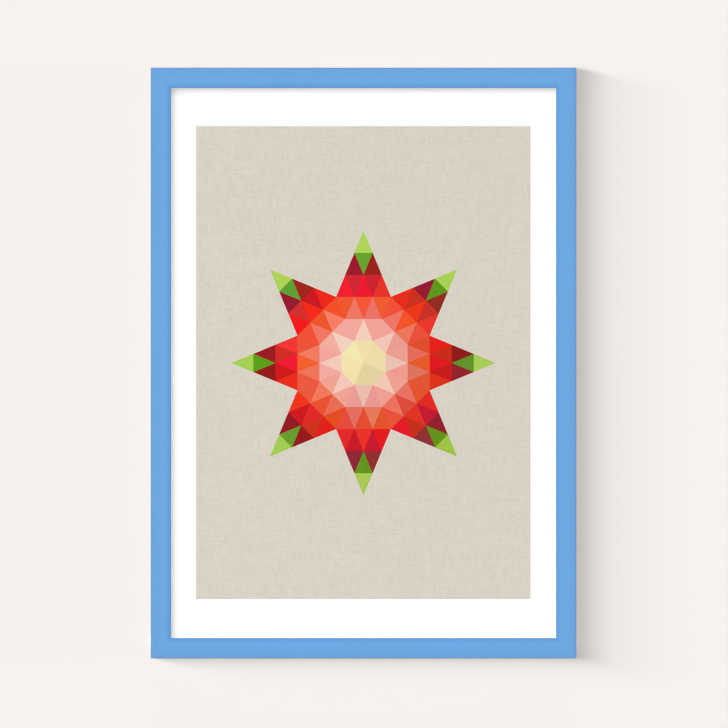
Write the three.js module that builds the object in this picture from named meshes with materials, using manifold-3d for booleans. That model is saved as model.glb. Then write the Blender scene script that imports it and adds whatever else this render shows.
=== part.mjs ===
// A framed print for a wall: a narrow mitred wood frame for an A3 sheet, hung by a sawtooth strip.
// Millimetres, +Z up, front towards -Y, the wall's surface at y = 0. The origin is the point
// where the wall nail bears: the middle notch of the hanger.
import * as THREE from "three";
import { mergeVertices } from "three/addons/utils/BufferGeometryUtils.js";
import Module from "manifold-3d";

const wasm = await Module();
wasm.setup();

// The flat goods: an A3 sheet, a glass pane and a board, all cut to one size.
const SHEET_WIDTH = 297;
const SHEET_HEIGHT = 420;
const SHEET_THICKNESS = 0.3;
const GLAZING_THICKNESS = 2;
const BOARD_THICKNESS = 3;

// The moulding in section: width as seen from the front, depth from front to back.
const RAIL_WIDTH = 15;
const RAIL_DEPTH = 20;
const RABBET_WIDTH = 6;
const LIP_DEPTH = 4.5; // wood in front of the glazing
const FACE_FALL = 0.5; // how far the nearly flat face falls away at each edge
const FACE_SQUARENESS = 3; // power of the superellipse: 2 is a plain ellipse
const FACE_STEPS = 40;
const PLAY = 1; // room round the sheet in the rabbet, on each side
const GLUE_LINE = 0.04; // half of the gap in each mitre
const LAYER_GAP = 0.1; // air between parts that lie on each other
const SLOT_GAP = 0.15; // air round metal let into the wood

// Bendable tabs, shot into the rabbet wall behind the board.
const TAB_WIDTH = 6;
const TAB_THICKNESS = 0.6;
const TAB_REACH = 9; // stands over the board
const TAB_BURIED = 6; // sits in the wood
const TAB_POINT = 2.5; // length of its cutting point
const TAB_ROUND_STEPS = 10;
const LONG_SIDE_TABS = [-140, 0, 140];
const SHORT_SIDE_TABS = [-80, 80];

// V-nails, pressed in across each mitre from the back.
const V_NAIL_LEG = 5.5;
const V_NAIL_THICKNESS = 0.5;
const V_NAIL_LENGTH = 7;
const V_NAIL_INSET = 2.4; // from both outer sides to its corner
const V_NAIL_SINK = 0.3; // how deep its end lies under the back of the wood

// Sawtooth hanger: flat feet, and a toothed middle that stands off the frame.
const HANGER_LENGTH = 45;
const HANGER_HEIGHT = 8;
const HANGER_THICKNESS = 0.8;
const HANGER_FOOT = 7.5;
const HANGER_RAMP = 2; // length of the slope between a foot and the middle
const NOTCH_PITCH = 3;
const NOTCH_DEPTH = 1.6;
const NOTCH_COUNT = 7; // odd, so that one notch is in the middle
const HOOK_BELOW_TOP = 7; // from the frame's top down to the nail

// Panel pins through the hanger's feet.
const PIN_RADIUS = 0.6;
const PIN_HEAD_RADIUS = 1.4;
const PIN_HEAD_HEIGHT = 0.5;
const PIN_LENGTH = 9;
const PIN_POINT = 1.5;
const PIN_FROM_END = 3.4;
const PIN_SIDES = 16;

// Soft pads that keep the lower corners off the wall.
const PAD_RADIUS = 4;
const PAD_HEIGHT = 2.5;
const PAD_FLAT_RADIUS = 2.6;
const PAD_EDGE_HEIGHT = 0.7;
const PAD_FROM_CORNER = 13;
const PAD_SIDES = 32;
const PAD_ROUND_STEPS = 6;

// Sizes that follow from those.
const WALL_WIDTH = RAIL_WIDTH - RABBET_WIDTH; // wood beside the rabbet, as seen from the back
const OUTER_WIDTH = SHEET_WIDTH + 2 * PLAY + 2 * WALL_WIDTH;
const OUTER_HEIGHT = SHEET_HEIGHT + 2 * PLAY + 2 * WALL_WIDTH;
const BACK = -PAD_HEIGHT; // the pads and the hanger touch the wall, the wood stays off it
const FRONT = BACK - RAIL_DEPTH;
const CENTRE_HEIGHT = HOOK_BELOW_TOP - OUTER_HEIGHT / 2;
const GLAZING_FRONT = FRONT + LIP_DEPTH + LAYER_GAP;
const SHEET_FRONT = GLAZING_FRONT + GLAZING_THICKNESS + LAYER_GAP;
const BOARD_FRONT = SHEET_FRONT + SHEET_THICKNESS + LAYER_GAP;
const TAB_FRONT = BOARD_FRONT + BOARD_THICKNESS + LAYER_GAP;
const REST_DROP = PLAY - LAYER_GAP; // glazing and board stand on the bottom rail
const HANGER_TOP = HANGER_HEIGHT - NOTCH_DEPTH;
const PIN_HEIGHT = HANGER_TOP - HANGER_HEIGHT / 2;
const PIN_PLACES = [-1, 1].map((way) => way * (HANGER_LENGTH / 2 - PIN_FROM_END));
const FOOT_BACK = BACK + LAYER_GAP + HANGER_THICKNESS;
const PIN_BACK = FOOT_BACK + LAYER_GAP + PIN_HEAD_HEIGHT;

const finish = (color, roughness, metalness = 0) =>
  new THREE.MeshStandardMaterial({ color, roughness, metalness });
const BLUE_PAINT = finish(0x6da8e2, 0.45);
const PAPER = finish(0xfafaf8, 0.9);
const HARDBOARD = finish(0x8a6440, 0.85);
const STEEL = finish(0xb9bcc0, 0.35, 1);
const SOFT_PLASTIC = finish(0xdedfdb, 0.4);
const GLASS = finish(0xf2f7f6, 0.05);
GLASS.transparent = true;
GLASS.opacity = 0.15;

// ---- Helpers ----

// A closed geometry as a solid that can be cut.
function solidOf(geometry) {
  const bare = geometry.clone();
  bare.deleteAttribute("normal");
  bare.deleteAttribute("uv");
  const merged = mergeVertices(bare);
  return new wasm.Manifold(
    new wasm.Mesh({
      numProp: 3,
      vertProperties: merged.attributes.position.array,
      triVerts: new Uint32Array(merged.index.array),
    }),
  );
}

function geometryOf(solid) {
  const mesh = solid.getMesh();
  const geometry = new THREE.BufferGeometry();
  geometry.setAttribute("position", new THREE.BufferAttribute(mesh.vertProperties, 3));
  geometry.setIndex(new THREE.BufferAttribute(mesh.triVerts, 1));
  geometry.computeVertexNormals();
  return geometry;
}

function node(name, geometry, material, x = 0, y = 0, z = 0) {
  const mesh = new THREE.Mesh(geometry, material);
  mesh.name = name;
  mesh.position.set(x, y, z);
  return mesh;
}

function polygon(points) {
  return new THREE.Shape(points.map(([x, y]) => new THREE.Vector2(x, y)));
}

// An outline drawn in x and z, given a thickness from y = 0 back to y = depth.
function plate(outline, depth) {
  const geometry = new THREE.ExtrudeGeometry(outline, { depth, bevelEnabled: false });
  return geometry.rotateX(Math.PI / 2).translate(0, depth, 0);
}

// Points [radius, height] turned about the Y axis, from the axis and back to it.
function turned(points, sides) {
  return new THREE.LatheGeometry(
    points.map(([radius, height]) => new THREE.Vector2(radius, height)),
    sides,
  );
}

// ---- Metal fittings, each drawn where it sits on the left rail, with the rail's outer
// side at x = 0 and its middle at z = 0. A gap above 0 draws the seat that it needs. ----

// Flat strip: a point in the wood, a round end over the board.
function tab(gap = 0) {
  const half = TAB_WIDTH / 2 + gap;
  const tip = WALL_WIDTH - TAB_BURIED - gap;
  const roundCentre = WALL_WIDTH + TAB_REACH - TAB_WIDTH / 2;
  const points = [
    [tip, 0],
    [tip + TAB_POINT, -half],
  ];
  for (let i = 0; i <= TAB_ROUND_STEPS; i++) {
    const angle = Math.PI * (i / TAB_ROUND_STEPS - 0.5);
    points.push([roundCentre + half * Math.cos(angle), half * Math.sin(angle)]);
  }
  points.push([tip + TAB_POINT, half]);
  return plate(polygon(points), TAB_THICKNESS + 2 * gap).translate(0, TAB_FRONT - gap, 0);
}

// Angle strip whose corner points to the frame's outer corner, which is at x = 0, z = 0.
function vNail(gap = 0) {
  const start = V_NAIL_INSET - gap;
  const inner = V_NAIL_INSET + V_NAIL_THICKNESS + gap;
  const end = V_NAIL_INSET + V_NAIL_LEG + gap;
  const outline = polygon([
    [start, -start],
    [start, -end],
    [inner, -end],
    [inner, -inner],
    [end, -inner],
    [end, -start],
  ]);
  const front = BACK - V_NAIL_SINK - V_NAIL_LENGTH - gap;
  const back = gap > 0 ? 0 : BACK - V_NAIL_SINK; // its seat is open at the back
  return plate(outline, back - front).translate(0, front, 0);
}

// Round wire nail along Y: the head's back is at y = 0, the point towards the front.
function pin(gap = 0) {
  const radius = PIN_RADIUS + gap;
  const length = PIN_LENGTH + gap;
  return turned(
    [
      [0, -length],
      [radius, PIN_POINT - length],
      [radius, -PIN_HEAD_HEIGHT],
      [PIN_HEAD_RADIUS, -PIN_HEAD_HEIGHT],
      [PIN_HEAD_RADIUS, 0],
      [0, 0],
    ],
    PIN_SIDES,
  );
}

// ---- Moulding ----

// The section, with x from the outer side inwards and y from the front backwards. The face
// is half of a superellipse, level in the middle and round at both edges.
function railSection() {
  const points = [[0, RAIL_DEPTH]];
  for (let i = 0; i <= FACE_STEPS; i++) {
    const across = -Math.cos((Math.PI * i) / FACE_STEPS);
    const rise = (1 - Math.abs(across) ** FACE_SQUARENESS) ** (1 / FACE_SQUARENESS);
    points.push([(RAIL_WIDTH / 2) * (1 + across), FACE_FALL * (1 - rise)]);
  }
  points.push([RAIL_WIDTH, LIP_DEPTH], [WALL_WIDTH, LIP_DEPTH], [WALL_WIDTH, RAIL_DEPTH]);
  return polygon(points);
}

// A length of moulding as the left rail, its outer side at x = 0. Both ends are cut to 45
// degrees: each end vertex is drawn in by its own distance from the outer side.
function mitredLength(halfLength) {
  const geometry = new THREE.ExtrudeGeometry(railSection(), { depth: 1, bevelEnabled: false });
  const position = geometry.attributes.position;
  for (let i = 0; i < position.count; i++) {
    const end = halfLength - position.getX(i) - GLUE_LINE;
    position.setZ(i, position.getZ(i) > 0.5 ? end : -end);
  }
  return geometry.translate(0, FRONT, 0);
}

// The wood of one rail, with the seats of its tabs, V-nails and pins cut out.
function railWood(halfLength, tabPlaces, pinPlaces) {
  const pinInset = HOOK_BELOW_TOP - PIN_HEIGHT;
  const seats = [
    ...tabPlaces.map((along) => tab(SLOT_GAP).translate(0, 0, along)),
    ...pinPlaces.map((along) => pin(SLOT_GAP).translate(pinInset, PIN_BACK, along)),
    vNail(SLOT_GAP).translate(0, 0, halfLength),
    vNail(SLOT_GAP).rotateY(-Math.PI / 2).translate(0, 0, -halfLength),
  ];
  let wood = solidOf(mitredLength(halfLength));
  for (const seat of seats) wood = wood.subtract(solidOf(seat));
  return geometryOf(wood);
}

// One side of the frame: its rail, its tabs, and the V-nail at its far end. It is built as
// the left side and turned about the picture's centre into its place.
function side(name, quarterTurns, halfSpan, halfLength, tabPlaces, corner, pinPlaces = []) {
  const group = new THREE.Group();
  group.rotation.y = (quarterTurns * Math.PI) / 2;
  group.add(node(`rail_${name}`, railWood(halfLength, tabPlaces, pinPlaces), BLUE_PAINT, -halfSpan));
  group.add(node(`v_nail_${corner}`, vNail(), STEEL, -halfSpan, 0, halfLength));
  tabPlaces.forEach((along, i) => {
    group.add(node(`tab_${name}_${i + 1}`, tab(), STEEL, -halfSpan, 0, along));
  });
  return group;
}

// ---- Glazing, print and board ----

function flatPiece(name, thickness, material, front, drop) {
  const geometry = new THREE.BoxGeometry(SHEET_WIDTH, thickness, SHEET_HEIGHT);
  return node(name, geometry, material, 0, front + thickness / 2, -drop);
}

// ---- Hanging parts ----

// The hanger is what two outlines have in common: its bent shape from above, and its
// toothed strip with two pin holes from the front.
function hanger() {
  const half = HANGER_LENGTH / 2;
  const rampStart = half - HANGER_FOOT;
  const rampEnd = rampStart - HANGER_RAMP;
  const bend = [
    [-half, FOOT_BACK],
    [-rampStart, FOOT_BACK],
    [-rampEnd, 0],
    [rampEnd, 0],
    [rampStart, FOOT_BACK],
    [half, FOOT_BACK],
  ];
  const inside = bend.map(([x, y]) => [x, y - HANGER_THICKNESS]).reverse();
  const bent = new THREE.ExtrudeGeometry(polygon([...bend, ...inside]), {
    depth: HANGER_HEIGHT,
    bevelEnabled: false,
  }).translate(0, 0, -NOTCH_DEPTH);

  const edge = [];
  for (let i = 0; i < NOTCH_COUNT; i++) {
    const middle = (i - (NOTCH_COUNT - 1) / 2) * NOTCH_PITCH;
    edge.push([middle - NOTCH_PITCH / 2, -NOTCH_DEPTH], [middle, 0]);
  }
  edge.push([(NOTCH_COUNT * NOTCH_PITCH) / 2, -NOTCH_DEPTH]);
  const strip = polygon([
    [-half, HANGER_TOP],
    [-half, -NOTCH_DEPTH],
    ...edge,
    [half, -NOTCH_DEPTH],
    [half, HANGER_TOP],
  ]);
  strip.holes = PIN_PLACES.map((x) =>
    new THREE.Path().absarc(x, PIN_HEIGHT, PIN_RADIUS + SLOT_GAP, 0, 2 * Math.PI),
  );
  const toothed = plate(strip, 2 * PAD_HEIGHT).translate(0, BACK - PAD_HEIGHT / 2, 0);
  return geometryOf(solidOf(bent).intersect(solidOf(toothed)));
}

// Low dome with a flat top that touches the wall, at y = 0.
function pad() {
  const base = LAYER_GAP - PAD_HEIGHT;
  const roundBase = base + PAD_EDGE_HEIGHT;
  const points = [
    [0, base],
    [PAD_RADIUS, base],
  ];
  for (let i = 0; i <= PAD_ROUND_STEPS; i++) {
    const angle = (Math.PI / 2) * (i / PAD_ROUND_STEPS);
    const radius = PAD_FLAT_RADIUS + (PAD_RADIUS - PAD_FLAT_RADIUS) * Math.cos(angle);
    points.push([radius, roundBase * (1 - Math.sin(angle))]);
  }
  points.push([0, 0]);
  return turned(points, PAD_SIDES);
}

// ---- The whole ----

const halfWidth = OUTER_WIDTH / 2;
const halfHeight = OUTER_HEIGHT / 2;

const picture = new THREE.Group();
picture.position.z = CENTRE_HEIGHT;
picture.add(side("left", 0, halfWidth, halfHeight, LONG_SIDE_TABS, "top_left"));
picture.add(side("top", 1, halfHeight, halfWidth, SHORT_SIDE_TABS, "top_right", PIN_PLACES));
picture.add(side("right", 2, halfWidth, halfHeight, LONG_SIDE_TABS, "bottom_right"));
picture.add(side("bottom", 3, halfHeight, halfWidth, SHORT_SIDE_TABS, "bottom_left"));
picture.add(flatPiece("glazing", GLAZING_THICKNESS, GLASS, GLAZING_FRONT, REST_DROP));
picture.add(flatPiece("print", SHEET_THICKNESS, PAPER, SHEET_FRONT, 0));
picture.add(flatPiece("backing_board", BOARD_THICKNESS, HARDBOARD, BOARD_FRONT, REST_DROP));
for (const [name, way] of [["left", -1], ["right", 1]]) {
  const x = way * (halfWidth - WALL_WIDTH / 2);
  picture.add(node(`pad_${name}`, pad(), SOFT_PLASTIC, x, 0, PAD_FROM_CORNER - halfHeight));
}

const framedPrint = new THREE.Group();
framedPrint.add(picture);
framedPrint.add(node("hanger", hanger(), STEEL));
PIN_PLACES.forEach((x, i) => {
  const name = ["hanger_pin_left", "hanger_pin_right"][i];
  framedPrint.add(node(name, pin(), STEEL, x, PIN_BACK, PIN_HEIGHT));
});

export default framedPrint;
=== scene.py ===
# %% [markdown]
# # A framed print, dressed for its looks
# The imported solids give the size and place of every piece. This script lays finer surfaces
# over them: a painted moulding, a clear pane, a printed sheet, and the metal at the back.
# The solids never move. Each new piece takes the place of one solid, which is hidden, and is
# drawn in the same coordinates, in metres: front towards -Y, up along +Z, the wall at y = 0.

# %% Load the solids
import math

import bpy
import numpy as np
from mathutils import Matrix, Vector, geometry


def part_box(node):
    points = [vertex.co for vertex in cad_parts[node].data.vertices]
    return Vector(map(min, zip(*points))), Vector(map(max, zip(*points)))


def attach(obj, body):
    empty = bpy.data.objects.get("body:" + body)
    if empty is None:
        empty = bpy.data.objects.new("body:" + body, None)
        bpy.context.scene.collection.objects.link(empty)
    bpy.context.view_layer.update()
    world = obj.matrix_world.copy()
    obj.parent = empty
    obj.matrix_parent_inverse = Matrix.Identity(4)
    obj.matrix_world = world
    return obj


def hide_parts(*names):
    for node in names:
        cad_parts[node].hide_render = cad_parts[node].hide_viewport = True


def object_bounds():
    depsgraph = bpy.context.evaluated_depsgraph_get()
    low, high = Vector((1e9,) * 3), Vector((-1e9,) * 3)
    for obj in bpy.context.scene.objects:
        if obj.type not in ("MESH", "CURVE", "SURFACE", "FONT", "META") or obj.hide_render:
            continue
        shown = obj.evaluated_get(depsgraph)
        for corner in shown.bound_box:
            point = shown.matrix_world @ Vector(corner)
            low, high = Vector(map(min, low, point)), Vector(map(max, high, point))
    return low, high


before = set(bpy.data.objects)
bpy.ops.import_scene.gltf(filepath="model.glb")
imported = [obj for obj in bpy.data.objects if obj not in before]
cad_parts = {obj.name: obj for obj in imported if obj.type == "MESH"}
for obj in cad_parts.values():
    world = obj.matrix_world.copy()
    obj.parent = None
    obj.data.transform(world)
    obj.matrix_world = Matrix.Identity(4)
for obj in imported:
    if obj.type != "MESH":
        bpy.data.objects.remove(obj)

cad_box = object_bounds()
MM = 0.001
scene = bpy.context.scene
print("solids:", len(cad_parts), "box:", [tuple(round(x, 4) for x in c) for c in cad_box])

# %% [markdown]
# ## Outlines
# Nothing made has truly sharp corners: saws, rollers and sandpaper leave a small ease that
# catches the light. A Bevel modifier could add it later. Here it goes into the outline
# itself, so that the same points also carry the paint's edge and the texture's measure.

# %% Round off an outline
BOX_CORNERS = np.array([[-1, -1], [1, -1], [1, 1], [-1, 1]])  # in turn, turning to the left


def unit(vectors):
    """Each vector divided by its own length."""
    length = np.linalg.norm(vectors, axis=-1, keepdims=True)
    return vectors / np.maximum(length, 1e-12)


def eased(corners, runs, steps=6):
    """A closed outline with rounded corners. Corner p, with its sides leaving towards a and
    b, becomes the short parabola p + run (1 - s)^2 a + run s^2 b for s from 0 to 1. Where
    the run is 0 the corner stays one point."""
    corners = np.asarray(corners, float)
    runs = np.broadcast_to(np.asarray(runs, float), len(corners))
    behind = unit(np.roll(corners, 1, axis=0) - corners)[:, None]
    ahead = unit(np.roll(corners, -1, axis=0) - corners)[:, None]
    s = np.linspace(0, 1, steps)[None, :, None]
    reach = runs[:, None, None]
    points = corners[:, None] + reach * ((1 - s) ** 2 * behind + s**2 * ahead)
    kept = (runs[:, None] > 0) | (np.arange(steps) == 0)
    return points[kept]


def outward(outline):
    """The outward direction at each point of an outline that turns to the left: the line
    from the point before to the point after, turned a quarter to the right."""
    along = unit(np.roll(outline, -1, axis=0) - np.roll(outline, 1, axis=0))
    return np.stack([along[:, 1], -along[:, 0]], axis=-1)


print("a square with eased corners has", len(eased(BOX_CORNERS, 0.1)), "points")

# %% [markdown]
# ## Skin over rings
# All pieces but the printed sheet are rows of closed rings: a moulding's section carried
# along its length, a plate's outline sunk through its thickness, a turned pin's circles. One
# helper joins the rings with quads and closes both ends. The sign of the enclosed volume
# shows which way the faces look, so a piece can't come out inside out. Texture coordinates
# are in metres.

# %% Join rings into a closed mesh
SHARP_ANGLE = math.radians(35)


def enclosed(points, quads, ends):
    """Volume of the closed surface: a sixth of the sum of a . (b x c) over its triangles."""
    a, b, c, d = (points[quads[:, k]] for k in range(4))
    total = np.sum(a * np.cross(b, c)) + np.sum(a * np.cross(c, d))
    for end in ends:
        fan = points[end]
        total += np.sum(fan[0] * np.cross(fan[1:-1], fan[2:]))
    return total / 6


def skin(name, rings, along=None, values=None):
    """A closed mesh over rings (station, point, xyz). Ring points are joined to their
    neighbours on the ring and on the next ring, and a flat face closes each end. The map
    "metres" holds (way along the stations, way round the ring). values gives named numbers,
    one for each ring point, that become attributes of the mesh."""
    stations, around = rings.shape[:2]
    if along is None:
        centres = rings.mean(axis=1)
        run = np.linalg.norm(np.diff(centres, axis=0), axis=1)
        along = np.repeat(np.concatenate([[0], np.cumsum(run)])[:, None], around, axis=1)
    middle_ring = rings[stations // 2]
    girth = np.linalg.norm(np.diff(middle_ring, axis=0, append=middle_ring[:1]), axis=1)
    girth = np.concatenate([[0], np.cumsum(girth)])
    index = np.arange(stations * around).reshape(stations, around)
    here = np.stack(np.meshgrid(np.arange(stations - 1), np.arange(around), indexing="ij"), -1)
    corners = here.reshape(-1, 1, 2) + np.array([[0, 0], [1, 0], [1, 1], [0, 1]])
    station, place = corners[..., 0], corners[..., 1]
    quads = index[station, place % around]
    quad_map = np.stack([along[station, place % around], girth[place]], axis=-1)
    ends = [index[0], index[-1][::-1]]
    points = rings.reshape(-1, 3)
    if enclosed(points, quads, ends) < 0:
        quads, quad_map, ends = quads[:, ::-1], quad_map[:, ::-1], [end[::-1] for end in ends]
    mesh = bpy.data.meshes.new(name)
    mesh.from_pydata(points.tolist(), [], quads.tolist() + [end.tolist() for end in ends])
    end_map = points[np.concatenate(ends)][:, [0, 2]]
    whole_map = np.concatenate([quad_map.reshape(-1, 2), end_map])
    layer = mesh.uv_layers.new(name="metres")
    layer.data.foreach_set("uv", whole_map.astype(np.float32).ravel())
    for key, numbers in (values or {}).items():
        carried = mesh.attributes.new(key, "FLOAT", "POINT")
        at_points = np.broadcast_to(numbers, (stations, around)).astype(np.float32)
        carried.data.foreach_set("value", at_points.ravel())
    mesh.set_sharp_from_angle(angle=SHARP_ANGLE)
    mesh.polygons.foreach_set("use_smooth", [True] * len(quads) + [False, False])
    piece = bpy.data.objects.new(name, mesh)
    scene.collection.objects.link(piece)
    return piece


def dress(piece, node, finish):
    """A finished piece rides on the frame, takes its solid's place, hiding it, and wears its
    finish.
    """
    piece.data.materials.clear()
    piece.data.materials.append(finish)
    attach(piece, "root")
    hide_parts(node)
    return piece


print("edges that turn by over", round(math.degrees(SHARP_ANGLE)), "degrees stay sharp")

# %% [markdown]
# ## Nodes in one line each
# A finish is a small net of nodes. Written out in full, each node takes five lines and hides
# what the finish does. These helpers make a node, set its numbers and join its inputs in one
# call, so that a recipe below reads as: this noise, spread so, tints that colour.

# %% Node helpers
def new_finish(name, **sockets):
    """A material with one Principled shader, and constants set on the shader's own sockets."""
    finish = bpy.data.materials.new(name)
    finish.use_nodes = True
    tree = finish.node_tree
    shader = next(n for n in tree.nodes if n.type == "BSDF_PRINCIPLED")
    for key, value in sockets.items():
        shader.inputs[key.replace("_", " ")].default_value = value
    return finish, tree, shader


def add(tree, kind, inputs, output=0, **settings):
    """One node. Its settings come by name, its inputs by name or number: a value is set on
    the input, and the output of another node is joined to it. Gives the node's output."""
    node = tree.nodes.new("ShaderNode" + kind)
    for key, value in settings.items():
        setattr(node, key, value)
    for key, value in inputs.items():
        if isinstance(value, bpy.types.NodeSocket):
            tree.links.new(value, node.inputs[key])
        else:
            node.inputs[key].default_value = value
    return node.outputs[output]


def place_on(tree, scale=(1, 1, 1), by_map=False):
    """Coordinates of a surface point, in metres times scale: the object's own, or by_map
    the map that follows the surface."""
    if by_map:
        source = add(tree, "UVMap", {}, uv_map="metres")
    else:
        source = add(tree, "TexCoord", {}, output="Object")
    return add(tree, "Mapping", {"Vector": source, "Scale": scale})


def noise(tree, vector, scale, detail=2.0, roughness=0.5):
    """Soft random field from about 0 to 1, with scale swings to the unit of the vector."""
    inputs = {"Vector": vector, "Scale": scale, "Detail": detail, "Roughness": roughness}
    return add(tree, "TexNoise", inputs)


def spread(tree, value, low, high, to_low, to_high):
    """Low becomes to_low, high becomes to_high, and what lies beyond is held at those."""
    return add(tree, "MapRange", {"Value": value, 1: low, 2: high, 3: to_low, 4: to_high})


def maths(tree, operation, a, b):
    """Arithmetic on two values."""
    return add(tree, "Math", {0: a, 1: b}, operation=operation)


def blended(tree, factor, first, second):
    """The first colour where factor is 0, the second where it is 1."""
    inputs = {"Factor": factor, 6: first, 7: second}
    return add(tree, "Mix", inputs, output=2, data_type="RGBA")


def scaled(tree, colour, factor):
    """A colour made lighter or darker by a factor, red, green and blue alike."""
    if not isinstance(colour, bpy.types.NodeSocket):
        colour = colour[:3]
    return add(tree, "VectorMath", {0: colour, "Scale": factor}, operation="SCALE")


def attribute(tree, name, output="Fac"):
    """A number or colour that the mesh carries at each point."""
    return add(tree, "Attribute", {}, output=output, attribute_name=name)


def relief(tree, shader, height, depth, strength=1.0):
    """Let a height field, 0 to 1 times depth metres, tilt the surface for the light."""
    bump = add(tree, "Bump", {"Height": height, "Distance": depth, "Strength": strength})
    tree.links.new(bump, shader.inputs["Normal"])


def feed(tree, shader, **inputs):
    """Join values to the shader's inputs."""
    for key, value in inputs.items():
        tree.links.new(value, shader.inputs[key.replace("_", " ")])


print("shader nodes to choose from:", sum(name.startswith("ShaderNode") for name in dir(bpy.types)))

# %% [markdown]
# ## The paint and the timber
# The moulding is softwood, sprayed sky blue before it was cut. Its blue is level on the face.
# Towards the outer edge, on the outer arris and at the lip it is darkened by painted shade,
# which stands in for the face turning from the light at its edges. On the back the paint stops
# in a ragged edge, and the raw wood shows. One material does all of it: the mesh carries the
# share of each painted shade and the distance to the paint's edge in millimetres, and noise
# frays that line. Vertex Paint could do it by hand, but would need doing again after each
# change of the section. Streaks follow the length because they read the map in metres
# instead of space.

# %% Painted timber
PAINT_BLUE = (0.1405, 0.375, 0.740, 1)
# The next three blues are painted shade: the sky blue darkened at the outer edge, at the lip and on
# the outer arris.
EDGE_SHADE_BLUE = (0.1365, 0.344, 0.659, 1)
LIP_SHADE_BLUE = (0.0945, 0.294, 0.663, 1)
ARRIS_SHADE_BLUE = (0.116, 0.297, 0.588, 1)
TIMBER_LIGHT = (0.62, 0.43, 0.25, 1)
TIMBER_DARK = (0.42, 0.255, 0.125, 1)
FRAY, CLOUD, STREAK, PEEL, LEVELLING = 900, 22, 60, 1500, 60  # noise swings to the metre
RINGS, FIBRE = 14, 120
FRAY_REACH, FRAY_SOFTNESS = 0.8, 0.12
TIMBER_ROUGHNESS = 0.85


def painted_timber():
    """Blue paint where paint_reach is above 0, straw-coloured softwood where it is below."""
    finish, tree, shader = new_finish("sky_blue_paint", Specular_IOR_Level=0.3)
    everywhere = place_on(tree)
    lengthwise = place_on(tree, (1, 25, 1), by_map=True)

    fray = spread(tree, noise(tree, everywhere, FRAY, 4, 0.7), 0.3, 0.7, -FRAY_REACH, FRAY_REACH)
    inside = maths(tree, "ADD", attribute(tree, "paint_reach"), fray)
    covered = spread(tree, inside, -FRAY_SOFTNESS, FRAY_SOFTNESS, 0, 1)

    cloud = spread(tree, noise(tree, everywhere, CLOUD, 3), 0.3, 0.7, 0.988, 1.012)
    streak = spread(tree, noise(tree, lengthwise, STREAK, 4, 0.6), 0.3, 0.7, 0.99, 1.01)
    # Painted shade: the coat darkens towards the outer edge, at the lip and on the outer arris.
    shaded_coat = blended(tree, attribute(tree, "painted_edge_shade"), PAINT_BLUE, EDGE_SHADE_BLUE)
    shaded_coat = blended(tree, attribute(tree, "painted_lip_shade"), shaded_coat, LIP_SHADE_BLUE)
    shaded_coat = blended(tree, attribute(tree, "painted_arris_shade"), shaded_coat, ARRIS_SHADE_BLUE)
    paint = scaled(tree, shaded_coat, maths(tree, "MULTIPLY", cloud, streak))

    rings = noise(tree, place_on(tree, (1, 26, 1), by_map=True), RINGS, 5, 0.62)
    fibre = noise(tree, place_on(tree, (1, 30, 1), by_map=True), FIBRE, 3, 0.7)
    wide, narrow = spread(tree, rings, 0.35, 0.65, 0, 0.7), spread(tree, fibre, 0.3, 0.7, 0, 0.3)
    timber = blended(tree, maths(tree, "ADD", wide, narrow), TIMBER_LIGHT, TIMBER_DARK)

    levelled = spread(tree, noise(tree, everywhere, LEVELLING, 3), 0.3, 0.7, 0.5, 0.6)
    rough = add(tree, "Mix", {"Factor": covered, 2: TIMBER_ROUGHNESS, 3: levelled})
    peel = noise(tree, everywhere, PEEL, 2)
    texture = add(tree, "Mix", {"Factor": covered, 2: fibre, 3: peel})
    relief(tree, shader, texture, 0.04 * MM, 0.35)
    feed(tree, shader, Base_Color=blended(tree, covered, timber, paint), Roughness=rough)
    return finish


sky_blue_paint = painted_timber()
print("finish:", sky_blue_paint.name)

# %% [markdown]
# ## The moulding
# Four mitred rails frame the glass. Each is one section carried along its length: a nearly
# flat face, a straight outer side, and a rabbet behind the lip that holds glass, print and
# board. The face is half a superellipse, which stays level over its middle and falls away
# at both edges. A curve object with a bevel profile would make a rail in two clicks, but
# couldn't carry the paint's numbers. Each end lies in the 45 degree plane of its mitre, and
# the saw cut's edge is eased by a few hundredths of a millimetre: a tight joint that only
# reads as a hairline when light grazes it.

# %% The rail's section
RAIL_WIDTH, RAIL_DEPTH = 15, 20
RABBET_WALL, LIP_DEPTH = 9, 4.5
FACE_FALL, FACE_SQUARENESS, FACE_POINTS = 0.5, 3, 65
BACK_EASE, LIP_EASE, RABBET_EASE = 0.9, 0.4, 0.6


def rail_section():
    """Outline (way in from the outer side, way back from the front) in millimetres. It runs
    from the back up the outer side, over the face and round the rabbet. The face sinks by
    fall (1 - (1 - |t|^p)^(1/p)) for t from -1 to 1 across."""
    t = -np.cos(np.linspace(0, math.pi, FACE_POINTS))
    sink = FACE_FALL * (1 - (1 - np.abs(t) ** FACE_SQUARENESS) ** (1 / FACE_SQUARENESS))
    face = np.stack([RAIL_WIDTH / 2 * (1 + t), sink], axis=-1)
    outer_back, inner_back = [0, RAIL_DEPTH], [RABBET_WALL, RAIL_DEPTH]
    first = eased([inner_back, outer_back, [0, 0]], [0, BACK_EASE, 0])[1:-1]
    lip = [[RAIL_WIDTH, 0], [RAIL_WIDTH, LIP_DEPTH], [RABBET_WALL, LIP_DEPTH]]
    last = eased([*lip, inner_back, outer_back], [0, LIP_EASE, 0, RABBET_EASE, 0])[1:-1]
    return np.concatenate([first, face, last])


section = rail_section()
side_run = np.linalg.norm(np.diff(section, axis=0, append=section[:1]), axis=1)
girth = np.concatenate([[0], np.cumsum(side_run)[:-1]])
print("section points:", len(section), "girth:", round(side_run.sum(), 2), "mm")

# %% Where the paint ends, and where shade is painted on it
PAINT_OVER_BACK, PAINT_INTO_RABBET = 1.6, 1.2
OUTER_EDGE_RUN, LIP_RUN, ARRIS_RUN = 7.2, 4.2, 1.1
OUTER_EDGE_POWER, LIP_POWER = 1.3, 1.6
HAIR = 1e-6


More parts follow.
